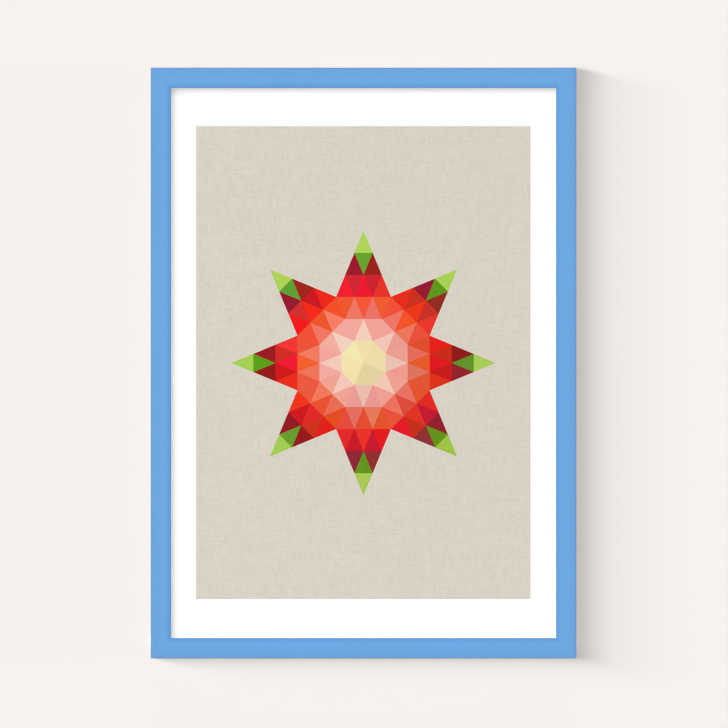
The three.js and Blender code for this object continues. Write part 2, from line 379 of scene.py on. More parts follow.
def paint_reach():
    """How far each section point lies inside the painted stretch, in millimetres: the paint
    covers the outer side, the face and the lip, and laps a little over both ends."""
    on_back = (section[:, 1] > RAIL_DEPTH - HAIR) & (girth > side_run.sum() / 2)
    way = np.where(on_back, girth - side_run.sum(), girth)
    lip_end = girth[section[:, 0] > RAIL_WIDTH - 1].max()
    return np.minimum(way + PAINT_OVER_BACK, lip_end + PAINT_INTO_RABBET - way)


def painted_edge_shade():
    """How much painted shade darkens the paint towards the outer edge: (1 - s)^power, with s the
    way in from the outer arris over its run, so it is 1 on the outer side and 0 past the run."""
    return (1 - np.clip(section[:, 0] / OUTER_EDGE_RUN, 0, 1)) ** OUTER_EDGE_POWER


def painted_lip_shade():
    """How much painted shade darkens the paint at the lip: (1 - s)^power, with s the way from the
    lip.
    """
    return (1 - np.clip((RAIL_WIDTH - section[:, 0]) / LIP_RUN, 0, 1)) ** LIP_POWER


def painted_arris_shade():
    """How much painted shade darkens the outer arris: 1 - s, with s the way along the section
    from the arris over its run. Down the outer side it fades all the way back."""
    arris = girth[np.argmax((section[:, 0] < HAIR) & (section[:, 1] < FACE_FALL + HAIR))]
    way = np.where(girth < arris, (arris - girth) / RAIL_DEPTH, (girth - arris) / ARRIS_RUN)
    return 1 - np.clip(way, 0, 1)


print("paint reach from", round(paint_reach().min(), 1), "to", round(paint_reach().max(), 1), "mm")

# %% [markdown]
# ## Four rails from one section
# The section is carried along a line for each side, and the mitre is only a rule: a point
# further in ends sooner. The rails are hidden from light that has already bounced off
# something matt, or their strong blue would tint the wall and the white margin.

# %% Carry the section along each side
GLUE_LINE, CUT_EASE, SHADE_GUARD = 0.005, 0.03, 0.2
BODY_STATIONS, EASE_STEPS = 12, 5


def rail_rings(half_length, origin, inwards, lengthwise):
    """Rings of one rail. A point u in from the outer side stands at half_length - u from the
    middle, which cuts the end at 45 degrees. Towards each end the last rings draw in by
    ease (1 - sin a) while they close up on the cut by ease (1 - cos a). One ring just short
    of them keeps the shading of that rim off the long faces."""
    turn = np.linspace(0, math.pi / 2, EASE_STEPS)
    drawn_in = CUT_EASE * (1 - np.sin(turn))
    short_of_cut = CUT_EASE * (1 - np.cos(turn)) + GLUE_LINE
    shape = section - drawn_in[:, None, None] * outward(section)
    far = half_length - shape[..., 0] - short_of_cut[:, None]
    body = np.linspace(-1, 1, BODY_STATIONS)[:, None] * (far[-1] - SHADE_GUARD)
    way = np.concatenate([-far, body, far[::-1]])
    shape = np.concatenate([shape, np.repeat(shape[-1:], len(body), axis=0), shape[::-1]])
    front = cad_box[0].y
    rings = np.array(origin) + MM * (shape[..., :1] * inwards + way[..., None] * lengthwise)
    rings[..., 1] = front + MM * shape[..., 1]
    return rings, way * MM


half_width = (cad_box[1].x - cad_box[0].x) / 2
outer_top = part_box("rail_top")[1].z
outer_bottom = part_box("rail_bottom")[0].z
half_height = (outer_top - outer_bottom) / 2
middle = (outer_top + outer_bottom) / 2
RIGHT, UP = np.array([1.0, 0, 0]), np.array([0, 0, 1.0])
sides = {
    "left": (half_height, [-half_width, 0, middle], RIGHT, UP),
    "right": (half_height, [half_width, 0, middle], -RIGHT, UP),
    "top": (half_width, [0, 0, outer_top], -UP, RIGHT),
    "bottom": (half_width, [0, 0, outer_bottom], UP, RIGHT),
}
for side, (half, origin, inwards, lengthwise) in sides.items():
    rings, way = rail_rings(half / MM, origin, inwards, lengthwise)
    values = {
        "paint_reach": paint_reach(),
        # The next three carry how much painted shade darkens the paint.
        "painted_edge_shade": painted_edge_shade(),
        "painted_lip_shade": painted_lip_shade(),
        "painted_arris_shade": painted_arris_shade(),
    }
    moulding = skin(f"moulding_{side}", rings, way, values)
    dress(moulding, f"rail_{side}", sky_blue_paint)
    moulding.visible_diffuse = False
    print(moulding.name, len(moulding.data.polygons), "faces, length", round(2 * half, 4), "m")

# %% [markdown]
# ## Plates
# Glass, board and sheet are flat goods cut from stock. A box with a Bevel modifier would do.
# The same rings serve again: the outline is drawn once and sunk through the thickness, a
# little smaller at both faces, which is what a seamed glass edge or a sawn board looks like.

# %% A plate with eased edges
def plate_rings(outline, front, back, ease):
    """Rings of a plate between two depths: the outline, drawn in by ease (1 - sin a) where
    it has sunk by ease (1 - cos a), from each face inwards."""
    turn = np.linspace(0, math.pi / 2, EASE_STEPS)
    drawn_in = ease * (1 - np.sin(turn))
    sunk = ease * (1 - np.cos(turn))
    drawn_in = np.concatenate([drawn_in, drawn_in[::-1]])
    depth = np.concatenate([front + sunk, back - sunk[::-1]])
    shape = outline - drawn_in[:, None, None] * outward(outline)
    level = np.broadcast_to(depth[:, None], shape.shape[:2])
    return np.stack([shape[..., 0], level, shape[..., 1]], axis=-1)


def plate_over(node, name, corner, ease):
    """A plate in the place of a flat solid, its corners rounded and its edges eased."""
    low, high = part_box(node)
    corners = [[low.x, low.z], [high.x, low.z], [high.x, high.z], [low.x, high.z]]
    return skin(name, plate_rings(eased(corners, corner), low.y, high.y, ease))


print("a plate is", 2 * EASE_STEPS, "rings deep")

# %% [markdown]
# ## Clear glass
# Picture glass is clear float glass: smooth, with the faintest green, and with a wiped haze
# that only shows in a reflection. A ray tracer gives glass a dark shadow unless light is let
# through, so shadow rays and soft bounces see a transparent sheet, and everything else sees
# real refraction.

# %% The pane
GLASS_TINT = (0.998, 1.0, 0.999, 1)
SEAMED_CORNER, SEAMED_EDGE = 0.6 * MM, 0.25 * MM


def clear_glass():
    """Smooth transmission with a trace of wiping marks in its gloss, open to shadow rays."""
    finish, tree, shader = new_finish("clear_float_glass", Transmission_Weight=1.0, IOR=1.5)
    shader.inputs["Base Color"].default_value = GLASS_TINT
    wiped = noise(tree, place_on(tree, (30, 1, 6)), 3, 4, 0.6)
    feed(tree, shader, Roughness=spread(tree, wiped, 0.35, 0.75, 0.0, 0.03))
    shadow = add(tree, "LightPath", {}, output="Is Shadow Ray")
    bounce = add(tree, "LightPath", {}, output="Is Diffuse Ray")
    passing = maths(tree, "MAXIMUM", shadow, bounce)
    open_way = add(tree, "BsdfTransparent", {"Color": GLASS_TINT})
    both = add(tree, "MixShader", {0: passing, 1: shader.outputs[0], 2: open_way})
    surface = next(n for n in tree.nodes if n.type == "OUTPUT_MATERIAL").inputs["Surface"]
    tree.links.new(both, surface)
    return finish


glass_pane = plate_over("glazing", "glass_pane", SEAMED_CORNER, SEAMED_EDGE)
dress(glass_pane, "glazing", clear_glass())
print(glass_pane.name, len(glass_pane.data.polygons), "faces")

# %% [markdown]
# ## The patchwork star
# The sheet shows an eight-pointed star of small diamonds, the old quilt pattern known as the
# lone star, on linen. Each point is a big diamond of three by three small ones, and each
# small one is halved along its short way into a near and a far triangle, so the colours can
# step from cream at the heart through pinks and reds to leaf green at the tips. A texture
# could show it, but only as sharp as its pixels. Here the triangles are real faces with a
# colour of their own: crisp at any size, with no picture file.

# %% Lay out the star
POINTS, DIAMONDS = 8, 3
STAR_REACH = 0.0985  # from the heart to a tip
LEAN = math.pi / POINTS


def star_triangles():
    """Corners (point, i, j, half, corner, 2) of every facet. With first and second the two
    sides of a point's diamond, the grid corner (i, j) is i first + j second."""
    axis = np.arange(POINTS) * 2 * math.pi / POINTS + math.pi / 2
    step = STAR_REACH / (2 * math.cos(LEAN)) / DIAMONDS
    first = step * np.stack([np.cos(axis - LEAN), np.sin(axis - LEAN)], axis=-1)
    second = step * np.stack([np.cos(axis + LEAN), np.sin(axis + LEAN)], axis=-1)
    i, j = np.meshgrid(np.arange(DIAMONDS), np.arange(DIAMONDS), indexing="ij")
    halves = np.array([[[0, 0], [1, 0], [0, 1]], [[1, 0], [1, 1], [0, 1]]])
    grid = np.stack([i, j], axis=-1)[:, :, None, None] + halves
    sides_of_point = np.stack([first, second], axis=1)
    return np.einsum("ijhcs,psx->pijhcx", grid, sides_of_point)


facets = star_triangles()
print("facets:", facets[..., 0, 0].size)

# %% [markdown]
# ## Colours that step outwards
# A quilt gets its glow from patches sorted by colour, ring after ring. The list below gives
# one colour a step, as a screen shows it. Printers' inks vary, so chance moves each facet a
# little, and a fixed seed gives the same sheet each time.

# %% Choose the colours
STEPS_FROM_HEART = [
    (246, 226, 172), (252, 206, 190), (250, 166, 154), (242, 118, 96), (240, 84, 48),
    (238, 32, 26), (206, 22, 30), (150, 20, 30), (98, 158, 32), (172, 212, 78),
]
TURN_OF_TONE = 0.08
TONE_CHANCE, TINT_CHANCE = 0.06, 0.02
DARKEST, LIGHTEST = 0.004, 0.95
INK_DEPTH = 0.70
SEED = 11


def to_light(levels):
    """Screen levels 0 to 255 as amounts of light: the usual power law with its short toe."""
    share = np.asarray(levels, float) / 255
    return np.where(share <= 0.04045, share / 12.92, ((share + 0.055) / 1.055) ** 2.4)


def star_colours():
    """One colour for each facet: its step from the heart, 2 (i + j) + half, picks it, chance
    moves it a little, and facets towards the upper left are a shade lighter."""
    chance = np.random.default_rng(SEED)
    point, i, j, half = np.indices(facets.shape[:4])
    step = np.minimum(2 * (i + j) + half, len(STEPS_FROM_HEART) - 1)
    centre = facets.mean(axis=4)
    lit = unit(centre) @ unit(np.array([-1.0, 1.0]))
    tone = 1 + TURN_OF_TONE * lit + chance.uniform(-TONE_CHANCE, TONE_CHANCE, step.shape)
    tint = chance.uniform(-TINT_CHANCE, TINT_CHANCE, step.shape + (3,))
    inks = to_light(STEPS_FROM_HEART)[step] * tone[..., None] + tint
    return np.clip(inks, DARKEST, LIGHTEST) * INK_DEPTH


facet_colours = star_colours().reshape(-1, 3)
print("colour steps:", len(STEPS_FROM_HEART))

# %% [markdown]
# ## One sheet, cut like inlay
# Margin, woven ground and star lie in one plane. Laid over each other they would flicker, so
# the sheet is cut along every outline at once, as an inlayer cuts veneer, and each piece
# then knows which field it belongs to. The printed field sits a hair off the sheet's middle.

# %% Cut the sheet into its fields
PRINTED_WIDTH, PRINTED_HEIGHT = 0.2492, 0.3525
FIELD_SHIFT = np.array([-0.15, 0.2]) * MM
PAPER_WHITE = (0.84, 0.84, 0.835)
LINEN = (0.512, 0.476, 0.414)


def cut_fields(outlines):
    """A flat sheet cut along every outline at once, by constrained Delaunay triangles. Gives
    points, triangles, and for each triangle the last outline that holds it. Corners that
    agree to a tenth of a micrometre become one point first."""
    corners = np.concatenate(outlines)
    rounded, place = np.unique(np.round(corners, 7), axis=0, return_inverse=True)
    ends = np.cumsum([0] + [len(outline) for outline in outlines])
    faces = [place.ravel()[a:b].tolist() for a, b in zip(ends[:-1], ends[1:])]
    cut = geometry.delaunay_2d_cdt([Vector(p) for p in rounded], [], faces, 0, 1e-7)
    return np.array(cut[0]), np.array(cut[2]), np.array([max(ids) for ids in cut[5]])


def rectangle(width, height, centre=(0, 0)):
    """Corners of a rectangle round a centre, turning to the left."""
    return np.array(centre) + 0.5 * BOX_CORNERS * [width, height]


low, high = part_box("print")
sheet_centre = np.array([low.x + high.x, low.z + high.z]) / 2
outlines = [
    rectangle(high.x - low.x, high.z - low.z, sheet_centre),
    rectangle(PRINTED_WIDTH, PRINTED_HEIGHT, sheet_centre + FIELD_SHIFT),
    *(facets.reshape(-1, 3, 2) + sheet_centre),
]
flat, triangles, field = cut_fields(outlines)
print("sheet triangles:", len(triangles), "fields:", len(outlines))

# %% Give the cut sheet its thickness
def printed_sheet():
    """The cut face in front, one plain face behind and four edge faces. Each front face has
    its field's colour, and is marked where it is woven ground."""
    front = np.column_stack([flat[:, 0], np.full(len(flat), low.y), flat[:, 1]])
    rim = rectangle(high.x - low.x, high.z - low.z, sheet_centre)
    behind = np.column_stack([rim[:, 0], np.full(4, high.y), rim[:, 1]])
    rim_front = np.linalg.norm(flat[:, None] - rim, axis=-1).argmin(axis=0)
    rim_back = len(flat) + np.arange(4)
    edges = np.stack([rim_front, rim_back, np.roll(rim_back, -1), np.roll(rim_front, -1)], axis=-1)
    faces = triangles.tolist() + edges.tolist() + [rim_back[::-1].tolist()]
    mesh = bpy.data.meshes.new("printed_sheet")
    mesh.from_pydata(np.concatenate([front, behind]).tolist(), [], faces)
    colours = np.concatenate([[PAPER_WHITE, LINEN], facet_colours])[field]
    colours = np.concatenate([colours, np.tile(PAPER_WHITE, (5, 1))])
    woven = np.concatenate([field == 1, np.zeros(5, bool)])
    corners_of = np.array([len(face) for face in faces])
    opaque = np.column_stack([colours, np.ones(len(colours))])
    ink = mesh.color_attributes.new("ink", "FLOAT_COLOR", "CORNER")
    ink.data.foreach_set("color", np.repeat(opaque, corners_of, axis=0).ravel())
    mark = mesh.attributes.new("woven", "FLOAT", "CORNER")
    mark.data.foreach_set("value", np.repeat(woven, corners_of).astype(np.float32))
    layer = mesh.uv_layers.new(name="metres")
    loops = np.zeros(corners_of.sum(), np.int32)
    mesh.loops.foreach_get("vertex_index", loops)
    layer.data.foreach_set("uv", np.concatenate([front, behind])[loops][:, [0, 2]].ravel())
    piece = bpy.data.objects.new("printed_sheet", mesh)
    scene.collection.objects.link(piece)
    return piece


print("sheet thickness:", round((high.y - low.y) / MM, 2), "mm")

# %% [markdown]
# ## Ink on paper
# Heavy matt paper has a fine tooth. The ground is printed to look like linen: its threads
# swell and thin along their length, both across and upright. A stretched noise alone looks
# like cloud, so the way across the threads is snapped to whole threads first. The weave is
# mixed in only where the mesh is marked as woven.

# %% The sheet's finish
THREAD_PITCH = 0.75 * MM
SLUB_LENGTH = 9 * MM
SLUB_DEPTH = 0.068
THREAD_STRIDE = 7.31  # how far apart two neighbouring threads read the noise
TOOTH = 1400


def threads(tree, along, across):
    """Brightness of threads that run along one axis. The way across is snapped to whole
    threads, each far from the next in the noise, so every thread swells and thins by itself."""
    ways = tree.nodes.new("ShaderNodeSeparateXYZ")
    tree.links.new(place_on(tree), ways.inputs[0])
    run = maths(tree, "DIVIDE", ways.outputs[along], SLUB_LENGTH)
    thread = maths(tree, "FLOOR", maths(tree, "DIVIDE", ways.outputs[across], THREAD_PITCH), 0)
    far_off = maths(tree, "MULTIPLY", thread, THREAD_STRIDE)
    spot = add(tree, "CombineXYZ", {0: run, 1: far_off, 2: float(along)})
    return spread(tree, noise(tree, spot, 1.0, 3, 0.6), 0.25, 0.75, -SLUB_DEPTH, SLUB_DEPTH)


def ink_on_paper():
    """The mesh's own colours, with slubs on the linen and paper tooth everywhere."""
    finish, tree, shader = new_finish("printed_paper", Specular_IOR_Level=0.25)
    slubs = maths(tree, "ADD", threads(tree, 0, 2), threads(tree, 2, 0))
    weave = maths(tree, "MULTIPLY", slubs, attribute(tree, "woven"))
    tooth = noise(tree, place_on(tree), TOOTH, 3, 0.6)
    tone = maths(tree, "ADD", weave, spread(tree, tooth, 0.3, 0.7, 0.994, 1.006))
    ink = scaled(tree, attribute(tree, "ink", "Color"), tone)
    feed(tree, shader, Base_Color=ink, Roughness=spread(tree, tooth, 0.3, 0.7, 0.78, 0.88))
    relief(tree, shader, tooth, 0.02 * MM, 0.3)
    return finish


sheet = dress(printed_sheet(), "print", ink_on_paper())
print(sheet.name, len(sheet.data.polygons), "faces")

# %% [markdown]
# ## The backing board
# The board is hardboard: brown fibres pressed against a wire screen, which leaves a fine
# waffle on one side. That side faces the back. The waffle is the product of two sines, with
# fibres and darker flecks from noise.

# %% Hardboard
SCREEN_PITCH = 1.5 * MM
FIBRE_BROWN, FLECK_BROWN = (0.36, 0.22, 0.12, 1), (0.19, 0.105, 0.052, 1)
FIBRE_SWINGS, FLECK_SWINGS = (260, 260, 700), 420
SAWN_CORNER, SAWN_EDGE = 0.8 * MM, 0.3 * MM


def pressed_fibre():
    """Brown fibre with a screen's waffle, sin(x) sin(z) at the screen's pitch."""
    finish, tree, shader = new_finish("pressed_fibre_board", Specular_IOR_Level=0.25)
    here = place_on(tree)
    ways = tree.nodes.new("ShaderNodeSeparateXYZ")
    tree.links.new(here, ways.inputs[0])
    turn = 2 * math.pi / SCREEN_PITCH
    sines = [maths(tree, "SINE", maths(tree, "MULTIPLY", ways.outputs[k], turn), 0) for k in (0, 2)]
    waffle = spread(tree, maths(tree, "MULTIPLY", *sines), -1, 1, 0, 1)
    fibres = noise(tree, place_on(tree, FIBRE_SWINGS), 1.0, 5, 0.7)
    flecks = noise(tree, here, FLECK_SWINGS, 4, 0.75)
    long_marks = spread(tree, fibres, 0.3, 0.7, 0, 0.6)
    round_marks = spread(tree, flecks, 0.35, 0.75, 0, 0.4)
    brown = blended(tree, maths(tree, "ADD", long_marks, round_marks), FIBRE_BROWN, FLECK_BROWN)
    # Painted shade: the brown is darker in the waffle's hollows and lighter on its ridges.
    brown = scaled(tree, brown, spread(tree, waffle, 0, 1, 0.86, 1.06))
    feed(tree, shader, Base_Color=brown, Roughness=spread(tree, fibres, 0.3, 0.7, 0.68, 0.85))
    pressed = maths(tree, "ADD", waffle, spread(tree, fibres, 0, 1, 0, 0.5))
    relief(tree, shader, pressed, 0.12 * MM, 0.6)
    return finish


board = plate_over("backing_board", "back_board", SAWN_CORNER, SAWN_EDGE)
dress(board, "backing_board", pressed_fibre())
print(board.name, len(board.data.polygons), "faces")

# %% [markdown]
# ## Metal
# Three metals hold the picture: dark blued tabs, bright wire nails and a brassed hanger. They
# differ in colour and in the marks of their making. Rolled strip has fine lines along its
# length, so the noise is stretched, and handling leaves duller patches.

# %% Rolled metal
PATCHES = 260


def rolled_metal(name, colour, roughness, lines):
    """Metal strip: lines, the noise's swings to the metre along each axis, draw it out along
    the strip, and patches dull it."""
    finish, tree, shader = new_finish(name, Metallic=1.0)
    rolled = noise(tree, place_on(tree, lines), 1.0, 3, 0.6)
    patches = noise(tree, place_on(tree), PATCHES, 4, 0.6)
    bright = spread(tree, rolled, 0.3, 0.7, 0.9, 1.08)
    clean = spread(tree, patches, 0.3, 0.7, 0.88, 1.06)
    scored = spread(tree, rolled, 0.3, 0.7, -0.05, 0.05)
    handled = spread(tree, patches, 0.3, 0.7, roughness - 0.06, roughness + 0.1)
    tinted = scaled(tree, colour, maths(tree, "MULTIPLY", bright, clean))
    feed(tree, shader, Base_Color=tinted, Roughness=maths(tree, "ADD", scored, handled))
    relief(tree, shader, rolled, 0.01 * MM, 0.4)
    return finish


blued_steel = rolled_metal("blued_spring_steel", (0.115, 0.125, 0.15, 1), 0.36, (2500, 900, 2500))
bright_steel = rolled_metal("bright_wire_steel", (0.62, 0.62, 0.63, 1), 0.3, (3000, 500, 3000))
brassed_steel = rolled_metal("brassed_steel", (0.78, 0.57, 0.25, 1), 0.28, (350, 3500, 3500))
print("metals:", blued_steel.name, bright_steel.name, brassed_steel.name)

# %% [markdown]
# ## Strip parts
# Tabs, corner nails and hanger are all cut from flat strip and bent. A strip is a path in a
# plane with two edges standing off it. Each ring is the strip's own rectangle with eased
# corners, square to the path, so a bend, a point, a round end or a row of teeth is only a
# change in the path or in the edges.

# %% Rings of a strip
def strip_rings(path, low_edge, high_edge, thickness, ease):
    """Rings (station, point, 3) of a strip: its path (n, 2) lies in the first two
    coordinates and its edges stand at low_edge and high_edge along the third. Each ring is
    path + t side + w across, over a rectangle of thickness by width with eased corners."""
    along = unit(np.gradient(path, axis=0))
    side = np.stack([-along[:, 1], along[:, 0]], axis=-1)
    s = np.linspace(0, 1, EASE_STEPS)[None, :, None]
    behind = (np.roll(BOX_CORNERS, 1, axis=0) - BOX_CORNERS)[:, None] / 2
    ahead = (np.roll(BOX_CORNERS, -1, axis=0) - BOX_CORNERS)[:, None] / 2
    arc = (1 - s) ** 2 * behind + s**2 * ahead
    half = 0.5 * np.stack([np.broadcast_to(thickness, len(path)), high_edge - low_edge], axis=-1)
    middle_edge = 0.5 * (high_edge + low_edge)
    run = np.minimum(ease, 0.9 * half.min(axis=1))
    ring = half[:, None, None] * BOX_CORNERS[:, None] + run[:, None, None, None] * arc
    ring = ring.reshape(len(path), -1, 2)
    flat_part = path[:, None] + ring[..., :1] * side[:, None]
    return np.concatenate([flat_part, (ring[..., 1] + middle_edge[:, None])[..., None]], axis=-1)


def put(rings, origin, first, second, third):
    """Rings drawn in their own axes, put in place: origin + a first + b second + c third."""
    axes = np.stack([first, second, third])
    return np.asarray(origin) + rings @ axes


def smooth(s):
    """Ease from 0 to 1 with level ends: 3 s^2 - 2 s^3."""
    s = np.clip(s, 0, 1)
    return s * s * (3 - 2 * s)


BACKWARDS = np.array([0, 1.0, 0])
straight = np.stack([np.arange(3.0), np.zeros(3)], axis=-1)
sample = strip_rings(straight, np.full(3, -1.0), np.ones(3), 0.5, 0.1)
print("each ring of a strip has", sample.shape[1], "points")

# %% [markdown]
# ## Bendable tabs
# Ten tabs are shot into the rabbet wall and lie over the board. Each has a point in the
# wood and a round end, and springs up a little where a finger has bent it to let the board
# out and back.

# %% Ten tabs
TAB_WIDTH, TAB_THICKNESS, TAB_POINT, TAB_POINT_HALF = 6.0, 0.6, 2.5, 0.05
TAB_LIFT, TAB_LIFT_POWER, TAB_ROOT_SHARE = 0.45, 1.5, 0.45
TAB_STATIONS, TAB_EASE = 61, 0.15


def tab_rings(length, lift):
    """Rings along a tab of this length, in millimetres. The half width grows from its point,
    stays level, and ends in a half circle. The path rises by lift over its free part. The
    stations crowd towards both ends, as 1 - cos does."""
    s = length * (1 - np.cos(np.linspace(0, math.pi, TAB_STATIONS))) / 2
    radius = TAB_WIDTH / 2
    end = np.clip(s - (length - radius), 0, radius)
    half = np.minimum(radius * s / TAB_POINT, np.sqrt(radius**2 - end**2))
    half = np.maximum(half, TAB_POINT_HALF)
    root = length * TAB_ROOT_SHARE
    path = np.stack([s, lift * smooth((s - root) / (length - root)) ** TAB_LIFT_POWER], axis=-1)
    return strip_rings(path, -half, half, TAB_THICKNESS, TAB_EASE)


def tab_over(node, reach, lift):
    """A tab in the place of its solid, reaching inwards from its side of the frame."""
    low, high = (np.array(corner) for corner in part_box(node))
    length = abs((high - low) @ reach) / MM
    centre = (low + high) / 2
    start = centre - reach * length * MM / 2
    across = np.cross(reach, BACKWARDS)
    rings = put(tab_rings(length, lift) * MM, start, reach, BACKWARDS, across)
    return skin(node.replace("tab", "bent_tab"), rings)


chance = np.random.default_rng(SEED)
reaches = {"left": RIGHT, "right": -RIGHT, "top": -UP, "bottom": UP}
tabs = [name for name in sorted(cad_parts) if name.startswith("tab_")]
for name in tabs:
    tab = tab_over(name, reaches[name.split("_")[1]], TAB_LIFT * chance.uniform(0.3, 1))
    dress(tab, name, blued_steel)
print("tabs:", len(tabs))

# %% [markdown]
# ## Corner nails
# A bent wing of steel is pressed across each mitre from the back, and its end shows in the
# raw wood as a thin bright angle, level with the surface.

# %% Four corner nails
NAIL_THICKNESS, NAIL_ELBOW, NAIL_EASE = 0.5, 1.0, 0.12
NAIL_PROUD = 0.03


def corner_nail_over(node):
    """An angle in the place of its solid: a path down one leg, round a soft elbow and along
    the other, with its edges at the solid's depth and level with the wood's back."""
    low, high = (np.array(corner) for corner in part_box(node))
    centre = (low + high) / 2
    outwards = np.sign(centre - np.array([0, 0, middle]))
    half = (high - low) / 2 - NAIL_THICKNESS * MM / 2
    elbow = centre + outwards * half
    leg = 2 * half[0] / MM
    corner = eased([[0, leg], [0, 0], [leg, 0]], [0, NAIL_ELBOW, 0], 9)
    straight = np.linspace(0, 1, 6)[1:, None]
    down = [0, leg] + straight * (corner[1] - [0, leg])
    onward = corner[-2] + straight * ([leg, 0] - corner[-2])
    path = np.concatenate([down, corner[2:-2], onward])
    rings = strip_rings(path, np.zeros(len(path)), np.ones(len(path)), NAIL_THICKNESS, NAIL_EASE)
    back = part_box("rail_left")[1].y + NAIL_PROUD * MM
    rings[..., 2] = (low[1] + (back - low[1]) * rings[..., 2]) / MM
    origin = np.array([elbow[0], 0, elbow[2]])
    placed = put(rings * MM, origin, -outwards[0] * RIGHT, -outwards[2] * UP, BACKWARDS)
    return skin(node.replace("v_nail", "corner_nail"), placed)


corner_nails = [name for name in sorted(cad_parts) if name.startswith("v_nail")]
for name in corner_nails:
    dress(corner_nail_over(name), name, bright_steel)
print("corner nails:", len(corner_nails))

# %% [markdown]
# ## The sawtooth hanger
# The hanger is a strip with flat feet and a middle that stands off the wood, so that a wall
# nail can catch one of its notches. Cutting teeth with a Boolean would leave rough faces.
# Here they are a zigzag in the lower edge, the distance to the nearest notch times a slope,
# with a small radius where the nail bears.

# %% Hanger
HANGER_HALF, HANGER_THICKNESS = 22.5, 0.8
FOOT_START, RAMP_END = 15.4, 12.6
NOTCH_PITCH, NOTCH_DEPTH, NOTCH_ROUND, NOTCHES = 3.0, 1.6, 0.15, 7
HANGER_TOP, END_ROUND, STAND_OFF = 6.4, 1.2, 1.6
HANGER_STATIONS, HANGER_EASE = 541, 0.18


def hanger_rings():
    """Rings along the hanger, in millimetres, with the middle notch at 0. With d the way to
    the nearest notch, the lower edge sinks as sqrt(d^2 + r^2) - r: a V with a round floor."""
    x = np.linspace(-HANGER_HALF, HANGER_HALF, HANGER_STATIONS)
    off_notch = np.abs((x + NOTCH_PITCH / 2) % NOTCH_PITCH - NOTCH_PITCH / 2)
    slope = np.sqrt(off_notch**2 + NOTCH_ROUND**2) - NOTCH_ROUND
    slope = slope / (np.sqrt((NOTCH_PITCH / 2) ** 2 + NOTCH_ROUND**2) - NOTCH_ROUND)
    low_edge = -NOTCH_DEPTH * np.where(np.abs(x) < NOTCHES * NOTCH_PITCH / 2, slope, 1)
    near_end = np.clip(np.abs(x) - (HANGER_HALF - END_ROUND), 0, END_ROUND)
    corner = END_ROUND - np.sqrt(END_ROUND**2 - near_end**2)
    foot = smooth((np.abs(x) - RAMP_END) / (FOOT_START - RAMP_END))
    path = np.stack([x, -HANGER_THICKNESS / 2 - STAND_OFF * foot], axis=-1)
    return strip_rings(path, low_edge + corner, HANGER_TOP - corner, HANGER_THICKNESS, HANGER_EASE)


hanger = skin("sawtooth_strip", put(hanger_rings() * MM, [0, 0, 0], RIGHT, BACKWARDS, UP))
dress(hanger, "hanger", brassed_steel)
print(hanger.name, len(hanger.data.polygons), "faces")

# %% [markdown]
# ## The hanger's nails
# Each foot is nailed with a small pin. Pins and bumpers are round about one axis, which a
# Spin or a Screw modifier would make. Turned as rings, they use the same skin as the rest.

# %% Turned parts
PIN_SIDES, PAD_SIDES = 32, 48


def turned(name, profile, node, sides):
    """A profile of (radius, depth) in millimetres turned about the middle of a solid, along
    Y: the ring at depth y has the points centre + radius (cos a, sin a)."""
    low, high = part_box(node)
    angle = np.linspace(0, 2 * math.pi, sides, endpoint=False)
    radius, depth = (MM * np.asarray(profile, float)[:, k, None] for k in (0, 1))
    across = (low.x + high.x) / 2 + radius * np.cos(angle)
    upward = (low.z + high.z) / 2 + radius * np.sin(angle)
    return skin(name, np.stack([across, depth + 0 * angle, upward], axis=-1))


# %% Two nails
PIN_RADIUS, PIN_TIP, PIN_TAPER = 0.6, 0.05, 1.5
HEAD_RADIUS, HEAD_HEIGHT, HEAD_RIM, HEAD_EASE = 1.4, 0.5, 0.18, (0.08, 0.06)
HEAD_POLE = 0.06


def pin_profile(point, back):
    """Tip, shank, and a low domed head: r = R sin a, sunk by (height - rim) (1 - cos a)."""
    a = np.linspace(math.pi / 2, HEAD_POLE, 10)
    under = back - HEAD_HEIGHT
    sunk = (HEAD_HEIGHT - HEAD_RIM) * (1 - np.cos(a))
    dome = np.stack([HEAD_RADIUS * np.sin(a), back - sunk], axis=-1)
    shank = [[PIN_TIP, point], [PIN_RADIUS, point + PIN_TAPER], [PIN_RADIUS, under]]
    rim = [[HEAD_RADIUS - HEAD_EASE[0], under], [HEAD_RADIUS, under + HEAD_EASE[1]]]
    return np.concatenate([shank, rim, dome])


for way in ("left", "right"):
    low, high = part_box(f"hanger_pin_{way}")
    profile = pin_profile(low.y / MM, high.y / MM)
    nail = turned(f"hanger_nail_{way}", profile, f"hanger_pin_{way}", PIN_SIDES)
    dress(nail, f"hanger_pin_{way}", bright_steel)
print("hanger nails: 2, with", len(nail.data.polygons), "faces each")

# %% [markdown]
# ## Soft bumpers
# Two small pads of milky plastic keep the lower corners off the wall. They are turned: a
# straight edge, a round shoulder and a flat that touches the wall. A little light spreads
# under the surface, and dust dulls them unevenly.

# %% Bumper finish and shape
PAD_RADIUS, PAD_FLAT, PAD_EDGE, PAD_BASE_EASE = 4.0, 2.6, 0.7, 0.15
MILK_LIGHT, MILK_DUSTY = (0.80, 0.80, 0.775, 1), (0.72, 0.725, 0.70, 1)
DUST = 500


def milky_plastic():
    """Pale plastic with light scattered just under its surface and dulled patches."""
    scatter = {"Subsurface_Weight": 0.25, "Subsurface_Scale": 1 * MM}
    finish, tree, shader = new_finish("milky_soft_plastic", **scatter)
    dust = noise(tree, place_on(tree), DUST, 4, 0.6)
    milk = blended(tree, spread(tree, dust, 0.3, 0.7, 0, 1), MILK_LIGHT, MILK_DUSTY)
    feed(tree, shader, Base_Color=milk, Roughness=spread(tree, dust, 0.3, 0.7, 0.28, 0.42))
    relief(tree, shader, dust, 0.02 * MM, 0.4)
    return finish


